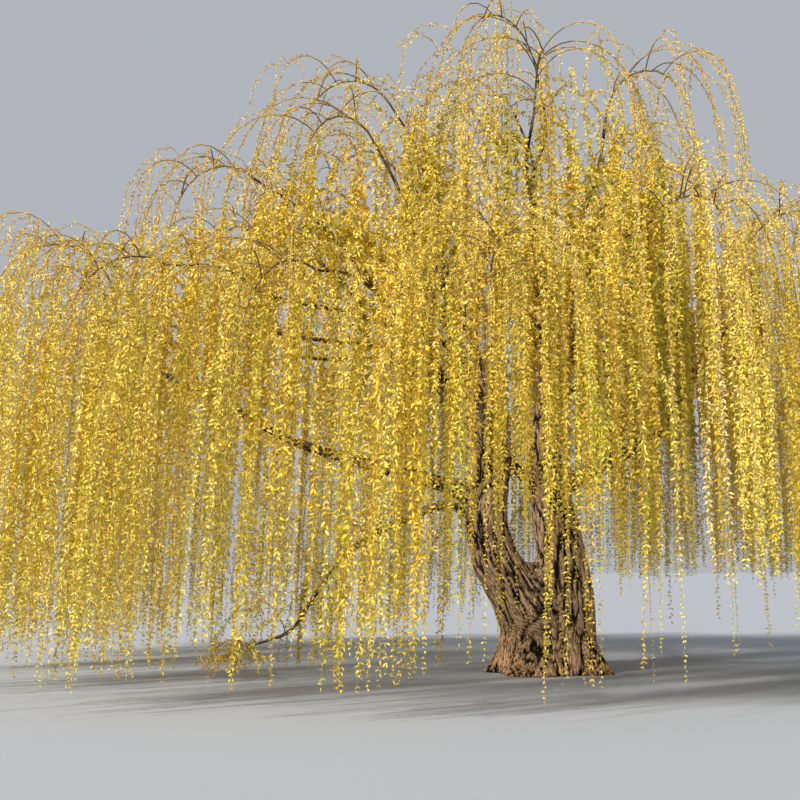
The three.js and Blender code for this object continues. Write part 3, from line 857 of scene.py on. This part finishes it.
def joined_pieces(name, corners, shape_faces, tints, materials):
    """Many small shapes with the same faces, joined into pieces that stay under the most triangles."""
    most = MOST_TRIANGLES // len(shape_faces)
    pieces = []
    for k, first in enumerate(range(0, len(corners), most)):
        block = corners[first : first + most]
        offsets = np.arange(len(block))[:, None, None] * corners.shape[1]
        faces = (shape_faces[None] + offsets).reshape(-1, 3)
        face_tints = np.repeat(tints[first : first + most], len(shape_faces))
        pieces.append(mesh_piece(f"{name}_{k + 1}", block.reshape(-1, 3), faces, materials, face_tints))
    return pieces


def dealt(colors, draws, count):
    """Indices into a list of colours, by their shares."""
    shares = np.array([share for _, _, share in colors])
    return draws.choice(len(colors), size=count, p=shares / shares.sum())


def grown_sizes(spots):
    """How large leaves grow by where they stand in the crown."""
    below = dome_height(spots) - spots[:, 2]
    deep = smooth(below, *INSIDE["below"]) * (1 - smooth(reach_share(spots), *INSIDE["out"]))
    deep *= smooth(spots[:, 2], *INSIDE["above"])
    grown = lerp(YOUNG["smaller"], 1, smooth(below, 0, YOUNG["depth"])) * (1 + INSIDE["larger"] * deep)
    above = spots[:, 2] - hem_height(spots)
    return grown * lerp(ALONE["smaller"], 1, smooth(above, 0, ALONE["height"]))


def leafy_parts(sprays):
    """The spots, ways, turns, sizes, leaf tints and catkin tints of all nodes, strand by strand."""
    draws = np.random.default_rng([SEED, DRAWS["tints"]])
    rows = []
    for spray in sprays:
        leaf_tint = dealt(LEAF_COLORS, draws, 1)[0]
        catkin_tint = dealt(CATKIN_COLORS, draws, 1)[0]
        for path in [spray["path"], *spray["strands"]]:
            is_arm = path is spray["path"]
            found = nodes_on(path, "arm" if is_arm else "strand", draws)
            if found is None:
                continue
            spots, ways, shares = found
            count = len(spots)
            own = draws.random() < OWN_TINT
            tint = dealt(LEAF_COLORS, draws, 1)[0] if own else leaf_tint
            other = dealt(CATKIN_COLORS, draws, 1)[0] if own else catkin_tint
            turns = TURN * (GOLDEN * np.arange(count) + draws.random())
            sizes = draws.uniform(*STRAND_SIZES) * lerp(1, SMALLER_AT_TIP, shares**2) * grown_sizes(spots)
            if is_arm:
                sizes = sizes * smooth(shares, *BARE_ARM)
            rows.append((spots, ways, turns, sizes, np.full(count, tint), np.full(count, other)))
    return [np.concatenate([row[k] for row in rows]) for k in range(len(rows[0]))]


def build_leaves(spots, ways, turns, sizes, tints, draws):
    """A pair of leaves at each node."""
    leaves = []
    vary = LEAF_TURN["vary"]
    for k in range(LEAVES_PER_NODE):
        turn = turns + (k + 0.5) * LEAF_TURN["apart"] + draws.uniform(-vary, vary, len(turns))
        length = LEAF["length"] * sizes * draws.uniform(*LEAF["sizes"], len(sizes))
        leaves.append(leaf_corners(spots, ways, outward(ways, turn), length, draws))
    tints = np.tile(tints, LEAVES_PER_NODE)
    return joined_pieces("leaves", np.concatenate(leaves), LEAF_FACES, tints, foliage_materials(LEAF_COLORS))


def build_catkins(spots, ways, turns, sizes, tints, draws):
    """A catkin at a few of the nodes."""
    bears = draws.random(len(spots)) < CATKIN["share"]
    length = CATKIN["length"] * sizes[bears] * draws.uniform(*CATKIN["sizes"], bears.sum())
    outs = outward(ways[bears], turns[bears])
    corners = catkin_corners(spots[bears], ways[bears], outs, length, draws)
    return joined_pieces("catkins", corners, CATKIN_FACES, tints[bears], foliage_materials(CATKIN_COLORS))


def build_foliage(sprays):
    """Leaves and catkins on all nodes but those with tiny leaves or near the ground."""
    parts = leafy_parts(sprays)
    keep = (parts[3] > SMALLEST) & (parts[0][:, 2] > LOWEST + LEAF["length"])
    *nodes, leaf_tints, catkin_tints = (values[keep] for values in parts)
    draws = np.random.default_rng([SEED, DRAWS["leaves"]])
    return build_leaves(*nodes, leaf_tints, draws) + build_catkins(*nodes, catkin_tints, draws)


# Materials


def new_material(name, sheen):
    """A material with the sheen of its kind, its node tree and its shader."""
    material = bpy.data.materials.new(name)
    material.use_nodes = True
    shader = material.node_tree.nodes["Principled BSDF"]
    for socket, value in SHEEN[sheen].items():
        shader.inputs[socket].default_value = value
    return material, material.node_tree, shader


def plain_material(name, color, sheen):
    material, _, shader = new_material(name, sheen)
    shader.inputs["Base Color"].default_value = (*color, 1)
    return material


def foliage_materials(colors):
    return [plain_material(f"foliage_{name}", color, "leaf") for name, color, _ in colors]


def math_node(tree, operation, *values):
    """A Math node whose inputs are numbers or other nodes' outputs."""
    node = tree.nodes.new("ShaderNodeMath")
    node.operation = operation
    for socket, value in zip(node.inputs, values):
        if isinstance(value, (int, float)):
            socket.default_value = value
        else:
            tree.links.new(value, socket)
    return node.outputs[0]


def stretched_noise(tree, place, kind):
    """Noise in a place that is scaled by its own amount on each axis."""
    stretch = tree.nodes.new("ShaderNodeMapping")
    stretch.inputs["Scale"].default_value = kind["scale"]
    tree.links.new(place.outputs["Vector"], stretch.inputs["Vector"])
    texture = tree.nodes.new("ShaderNodeTexNoise")
    texture.inputs["Scale"].default_value = 1
    texture.inputs["Detail"].default_value = kind["detail"]
    tree.links.new(stretch.outputs["Vector"], texture.inputs["Vector"])
    return texture.outputs["Fac"]


def bark_height(tree):
    """The height of bark: the ridges of its mesh, and finer cracks and scales."""
    furrow = tree.nodes.new("ShaderNodeAttribute")
    furrow.attribute_name = "ridge"
    place = tree.nodes.new("ShaderNodeAttribute")
    place.attribute_name = "bark_place"
    crack_and_shade = math_node(tree, "SUBTRACT", stretched_noise(tree, place, CRACKS), CRACKS["middle"])
    away = math_node(tree, "MULTIPLY", math_node(tree, "ABSOLUTE", crack_and_shade), CRACKS["sharp"])
    fine = math_node(tree, "MINIMUM", away, 1)
    scales = stretched_noise(tree, place, SCALES)
    height = math_node(tree, "MULTIPLY_ADD", furrow.outputs["Fac"], RIDGES["weight"], RIDGES["shift"])
    height = math_node(tree, "MULTIPLY_ADD", fine, CRACKS["weight"], height)
    return math_node(tree, "MULTIPLY_ADD", scales, SCALES["weight"], height)


def bark_color(tree, height, colors):
    """The colour of bark: dark in its furrows, partly its own colour and partly painted shade, pale on its
    ridges, earthier towards the ground.
    """
    ramp = tree.nodes.new("ShaderNodeValToRGB")
    stops = ramp.color_ramp.elements
    stops.new(BARK_RAMP["body"])
    for stop, name in zip(stops, BARK_RAMP):
        stop.position = BARK_RAMP[name]
        stop.color = (*colors[name], 1)
    tree.links.new(height, ramp.inputs["Fac"])
    split = tree.nodes.new("ShaderNodeSeparateXYZ")
    coordinates = tree.nodes.new("ShaderNodeTexCoord")
    tree.links.new(coordinates.outputs["Object"], split.inputs["Vector"])
    low = tree.nodes.new("ShaderNodeMapRange")
    low.inputs["From Min"].default_value = EARTHY["none_above"]
    low.inputs["From Max"].default_value = EARTHY["full_below"]
    tree.links.new(split.outputs["Z"], low.inputs["Value"])
    tint = tree.nodes.new("ShaderNodeMix")
    tint.data_type = "RGBA"
    tint.blend_type = "MULTIPLY"
    tree.links.new(low.outputs["Result"], tint.inputs["Factor"])
    tree.links.new(ramp.outputs["Color"], tint.inputs["A"])
    tint.inputs["B"].default_value = (*colors["earthy"], 1)
    return tint.outputs["Result"]


def bark_material(name, colors):
    material, tree, shader = new_material(name, "bark")
    height = bark_height(tree)
    tree.links.new(bark_color(tree, height, colors), shader.inputs["Base Color"])
    bump = tree.nodes.new("ShaderNodeBump")
    for socket, value in BUMP.items():
        bump.inputs[socket].default_value = value
    tree.links.new(height, bump.inputs["Height"])
    tree.links.new(bump.outputs["Normal"], shader.inputs["Normal"])
    return material


# Trunk, stems and boughs with their bark's relief

SKIN = {"voxel": 0.028, "steps": 60, "sides": 48, "levels": 80, "soften": 0.5, "rounds": 12}
FURROWS = {"across": 0.1, "along": 0.95, "sharp": 0.24, "depth": 0.052, "warp": 0.06, "warp_across": 5,
           "warp_along": 2.4, "middle": 0.7, "full_radius": 0.4, "next": 7.3}
FLUTES = {"across": 0.3, "along": 1.4, "depth": 0.06, "full_radius": 0.5, "next": 3.1}
SEAM = {"half": 0.12, "from": 0.5, "to": 0.9, "least": 0.01}  # between the barks of the two stems
FOOT = {"upright": 0.5, "level_below": 0.03, "flat_below": 0.012, "faces_down": -0.5}
BOUGH_RELIEF = {"ring_step": 0.1, "least_steps": 8, "sides": 10, "thick_sides": 16, "thick_over": 0.1,
                "depth": 0.1, "next": 11.7, "swell": 0.12, "swells": 2.2, "next_swell": 5.1}
SLIMMER = {"stem_root": 0.84, "bough_root": 0.66, "tip": 0.42}  # shares of the solid boughs' radii that show
COLLAR = {"more": 0.4, "stretch": 0.3, "reach": 0.75, "close": 0.4, "rings": 16, "sides": 24}


def furrow_height(offset, along, seed):
    """The height of bark, from 0 in long furrows that part and meet to 1 on the ridges between."""
    across = FURROWS["warp_across"]
    warp = Vector((offset[0] * across, offset[1] * across, along * FURROWS["warp_along"] + seed))
    stray = FURROWS["warp"] * noise.noise(warp)
    x = (offset[0] + stray) / FURROWS["across"] + seed
    y = (offset[1] - stray) / FURROWS["across"]
    depth = abs(noise.noise(Vector((x, y, along / FURROWS["along"])))) / FURROWS["sharp"]
    share = min(depth, 1)
    return share * (2 - share)


def flute_height(offset, along, seed):
    """Slow swells and hollows along a limb, from -1 to 1."""
    across = FLUTES["across"]
    return noise.noise(Vector((offset[0] / across, offset[1] / across, along / FLUTES["along"] + seed)))


def foot_surface():
    """The trunk's foot, as in the solids, as closed rings."""
    corners = []
    angle = TURN * np.arange(TRUNK["sides"]) / TRUNK["sides"]
    for i in range(TRUNK["steps"] + 1):
        share = i / TRUNK["steps"]
        z = TRUNK["height"] * share ** TRUNK["low_rings"]
        wave = np.cos(ROOTS["count"] * (angle - ROOTS["turn"]) + ROOTS["uneven"] * np.sin(2 * angle))
        flare = TRUNK["flare"] * math.exp(-z / TRUNK["flare_height"]) * (1 + ROOTS["depth"] * wave)
        narrowing = share ** SADDLE["late"]
        column = lerp(1, SADDLE["share"], narrowing)
        x = SADDLE["lean"] * narrowing + np.cos(angle) * (TRUNK["half_width"] * column + flare)
        y = np.sin(angle) * (TRUNK["half_depth"] * column + flare)
        corners.append(np.stack([x, y, np.full(len(x), z)], -1))
    return np.array(corners)


def stem_surface(stem):
    return rings_along(*stem.line(np.linspace(0, 1, SKIN["steps"] + 1)), SKIN["sides"])


def closed_tube(rings):
    """Corners and faces of rings with a flat fan over each end."""
    count, sides = rings.shape[:2]
    corners = np.vstack([rings.reshape(-1, 3), rings[0].mean(0), rings[-1].mean(0)])
    quads = tube_faces(count, sides).tolist()
    first, last = count * sides, count * sides + 1
    turn = [(j, (j + 1) % sides) for j in range(sides)]
    bottom = [(first, k, j) for j, k in turn]
    top = [(last, first - sides + j, first - sides + k) for j, k in turn]
    return corners, quads + bottom + top


def collar_surface(limb):
    """The root of a bough, a little thicker than the bough and closing inside it."""
    shares = np.linspace(0, min(COLLAR["reach"] / limb.route.length, 1), COLLAR["rings"])
    spots, ways, radii = limb.line(shares)
    along = shares * limb.route.length
    closing = COLLAR["close"] * (along / COLLAR["reach"]) ** 3
    swell = 1 + COLLAR["more"] * np.exp(-along / COLLAR["stretch"]) - closing
    return rings_along(spots, ways, radii * swell, COLLAR["sides"])


def remeshed_trunk(stems, boughs):
    """Foot, stems and the roots of the boughs joined into one even skin by a voxel remesh."""
    corners, faces = [], []
    surfaces = [foot_surface(), *map(stem_surface, stems), *map(collar_surface, boughs)]
    for rings in surfaces:
        offset = sum(len(block) for block in corners)
        block, block_faces = closed_tube(rings)
        corners.append(block)
        faces += [[offset + i for i in face] for face in block_faces]
    mesh = bpy.data.meshes.new("trunk_base")
    mesh.from_pydata(np.vstack(corners).tolist(), [], faces)
    rough = placed("trunk_base", mesh)
    remesh = rough.modifiers.new("skin", "REMESH")
    remesh.mode = "VOXEL"
    remesh.voxel_size = SKIN["voxel"]
    soften = rough.modifiers.new("soften", "SMOOTH")
    soften.factor = SKIN["soften"]
    soften.iterations = SKIN["rounds"]
    graph = bpy.context.evaluated_depsgraph_get()
    skin = bpy.data.meshes.new_from_object(rough.evaluated_get(graph))
    bpy.data.objects.remove(rough)
    return skin


def level_offsets(limb, spots):
    """Each spot's offset from a rising limb's middle at the same height, and the limb's radius there."""
    places, _, radii = limb.line(np.linspace(0, 1, SKIN["levels"]))
    x = np.interp(spots[:, 2], places[:, 2], places[:, 0])
    y = np.interp(spots[:, 2], places[:, 2], places[:, 1])
    return spots[:, :2] - np.stack([x, y], -1), np.interp(spots[:, 2], places[:, 2], radii)


def trunk_relief(stems, spots):
    """How far bark lifts each of the trunk's spots, its ridge height and its place for the material."""
    left_stem, right_stem = stems
    left_offset, left_radius = level_offsets(left_stem, spots)
    right_offset, right_radius = level_offsets(right_stem, spots)
    left_gap = norm(left_offset, axis=1) / left_radius
    right_gap = norm(right_offset, axis=1) / right_radius
    left = smooth(right_gap - left_gap, -SEAM["half"], SEAM["half"])
    left = left * smooth(spots[:, 2], SEAM["from"], SEAM["to"])
    ridge = np.zeros(len(spots))
    swell = np.zeros(len(spots))
    for k, weight, offsets in ((0, left, left_offset), (1, 1 - left, right_offset)):
        for i in np.nonzero(weight > SEAM["least"])[0]:
            ridge[i] += weight[i] * furrow_height(offsets[i], spots[i, 2], FURROWS["next"] * k)
            swell[i] += weight[i] * flute_height(offsets[i], spots[i, 2], FLUTES["next"] * k)
    radius = left * left_radius + (1 - left) * right_radius
    lift = FURROWS["depth"] * (ridge - FURROWS["middle"]) * np.minimum(radius / FURROWS["full_radius"], 1)
    lift += FLUTES["depth"] * swell * radius / FLUTES["full_radius"]
    middle = left_offset * left[:, None] + right_offset * (1 - left)[:, None]
    return lift, ridge, np.column_stack([middle, spots[:, 2]])


def lifted_bark(spots, normals, lift):
    """The trunk's spots moved out by its bark, with the cut at the ground kept flat."""
    side = normals * (1, 1, FOOT["upright"])
    side[spots[:, 2] < FOOT["level_below"], 2] = 0
    flat = (spots[:, 2] < FOOT["flat_below"]) & (normals[:, 2] < FOOT["faces_down"])
    side[flat] = 0
    moved = spots + side * lift[:, None]
    moved[:, 2] = np.maximum(moved[:, 2], 0)
    moved[flat, 2] = 0
    return moved


def build_trunk(stems, boughs):
    skin = remeshed_trunk(stems, boughs)
    read = np.zeros((2, len(skin.vertices) * 3), np.float32)
    skin.vertices.foreach_get("co", read[0])
    skin.vertices.foreach_get("normal", read[1])
    spots, normals = read.reshape(2, -1, 3).astype(float)
    lift, ridge, places = trunk_relief(stems, spots)
    moved = lifted_bark(spots, normals, lift)
    skin.vertices.foreach_set("co", moved.astype(np.float32).ravel())
    skin.name = "trunk_bark"
    note_bark(skin, ridge, places)
    skin.materials.clear()
    skin.materials.append(bark_material("trunk_bark", TRUNK_BARK))
    skin.polygons.foreach_set("use_smooth", np.ones(len(skin.polygons), bool))
    skin.update()
    return placed("trunk_bark", skin)


def note_bark(mesh, ridge, place):
    """Gives a mesh the height of its bark and the place along its limb that the bark's material reads."""
    mesh.attributes.new("ridge", "FLOAT", "POINT").data.foreach_set("value", ridge.astype(np.float32))
    noted = mesh.attributes.new("bark_place", "FLOAT_VECTOR", "POINT")
    noted.data.foreach_set("vector", place.astype(np.float32).ravel())


def bough_relief(limb, number, root):
    """The rings of a bough with ridges along it, their ridge heights, and their places for its bark."""
    sides = BOUGH_RELIEF["thick_sides" if limb.thick > BOUGH_RELIEF["thick_over"] else "sides"]
    steps = max(int(limb.route.length / BOUGH_RELIEF["ring_step"]), BOUGH_RELIEF["least_steps"])
    shares = np.linspace(0, 1, steps + 1)
    spots, ways, radii = limb.line(shares)
    along = shares * limb.route.length
    radii = radii * lerp(root, SLIMMER["tip"], shares**TWIG_TAPER)
    plain = rings_along(spots, ways, radii, sides)
    turns = TURN * np.arange(sides) / sides
    round_places = radii[:, None, None] * np.stack([np.cos(turns), np.sin(turns)], -1)
    seed = BOUGH_RELIEF["next"] * number
    ridge = np.zeros((steps + 1, sides))
    for i, j in np.ndindex(ridge.shape):
        ridge[i, j] = furrow_height(round_places[i, j], along[i], seed)
    swell_seed = number * BOUGH_RELIEF["next_swell"]
    swells = [noise.noise(Vector((a * BOUGH_RELIEF["swells"], swell_seed, 0))) for a in along]
    swell = np.array(swells)[:, None] * BOUGH_RELIEF["swell"]
    factor = 1 + BOUGH_RELIEF["depth"] * (ridge - FURROWS["middle"]) + swell
    relief = spots[:, None] + (plain - spots[:, None]) * factor[..., None]
    long_places = np.broadcast_to(along[:, None, None] + seed, (steps + 1, sides, 1))
    return relief, ridge, np.concatenate([round_places, long_places], -1)


def build_bough_bark(limbs, stem_boughs):
    """One joined mesh of all boughs, slimmer than the solids and most of all at their tips."""
    corners, faces, ridges, places, total = [], [], [], [], 0
    for number, limb in enumerate(limbs):
        root = SLIMMER["stem_root" if limb in stem_boughs else "bough_root"]
        relief, ridge, place = bough_relief(limb, number, root)
        corners.append(relief.reshape(-1, 3))
        faces.append(tube_faces(*ridge.shape) + total)
        ridges.append(ridge.ravel())
        places.append(place.reshape(-1, 3))
        total += ridge.size
    bark = bark_material("bough_bark", BOUGH_BARK)
    piece = mesh_piece("bough_bark", np.vstack(corners), np.vstack(faces), [bark], smooth_faces=True)
    note_bark(piece.data, np.concatenate(ridges), np.vstack(places))
    return piece


# The stage


def build_stage():
    bpy.ops.mesh.primitive_plane_add(size=FLOOR["size"])
    floor = bpy.context.object
    floor.name = "floor"
    floor.data.materials.append(plain_material("floor", FLOOR["color"], "floor"))
    world = bpy.data.worlds.new("studio")
    world.use_nodes = True
    background = world.node_tree.nodes["Background"]
    background.inputs["Color"].default_value = (*WORLD["color"], 1)
    background.inputs["Strength"].default_value = WORLD["strength"]
    bpy.context.scene.world = world
    sun = bpy.data.lights.new("sun", "SUN")
    sun.energy = SUN["strength"]
    sun.angle = math.radians(SUN["angle"])
    sun.color = SUN["color"]
    tilt = math.radians(90 - SUN["height"])
    placed("sun", sun).rotation_euler = (tilt, 0, math.radians(SUN["azimuth"]))
    bpy.context.scene.view_settings.view_transform = "Standard"


def build_camera():
    data = bpy.data.cameras.new("camera")
    data.sensor_width = CAMERA["sensor"]
    data.lens = CAMERA["lens"]
    data.clip_end = CAMERA["sees"]
    camera = placed("camera", data)
    camera.location = CAMERA["place"]
    camera.rotation_euler = (math.radians(CAMERA["tilt"]), 0, 0)
    bpy.context.scene.camera = camera


def build_twigs(sprays):
    """Stems and branchlets in bark brown, and the strands that hang from them in gold."""
    arms = [(spray["path"], *RADII[spray["kind"]], BROWN[spray["kind"]]) for spray in sprays]
    draws = np.random.default_rng([SEED, DRAWS["waves"]])
    strands = [waved(path, draws) for spray in sprays for path in spray["strands"]]
    fine = [(path, *RADII["strand"], -1) for path in strands]
    barks = [plain_material(name, color, "twig") for name, color in TWIG_COLORS]
    return [twig_tubes("branchlets", arms, "arm", barks), twig_tubes("strands", fine, "strand", barks)]


build_camera()
build_stage()

stems = [Limb(name, route_through(stem["path"]), stem["thick"], stem["thin"]) for name, stem in STEMS.items()]
masses = ring_masses()
boughs = build_boughs(masses, stems)
low_bough = Limb("low_bough", route_through(LOW_BOUGH["path"]), LOW_BOUGH["thick"], LOW_BOUGH["thin"])
limbs = [*stems, *boughs.values(), low_bough]
spaces = [Space(mass, limbs) for mass in [*masses, LowMass(low_bough)]]
sprays = [spray for space in spaces for spray in grow_mass(space)]
for number, mass in enumerate(masses):
    sprays += grow_shoots(spaces[: len(masses)], boughs[mass.name], mass.level, number)
sprays += grow_shoots(spaces[-1:], low_bough, False, len(masses))

stem_boughs = [*(bough for bough in boughs.values() if bough.parent in stems), low_bough]
trunk = build_trunk(stems, stem_boughs)
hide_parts("trunk", "left_stem", "right_stem")
bough_bark = build_bough_bark([*boughs.values(), low_bough], stem_boughs)
bough_nodes = [limb.name for limb in boughs.values()]
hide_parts("low_bough", "low_bough_end", *bough_nodes)
twigs = build_twigs(sprays)
leafy = build_foliage(sprays)
foliage_nodes = [name for name in frame["nodes"] if name.endswith("_foliage")]
for piece in [*twigs, *leafy]:
    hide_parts(*foliage_nodes)
for piece in (trunk, bough_bark, *twigs, *leafy):
    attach(piece, "root")
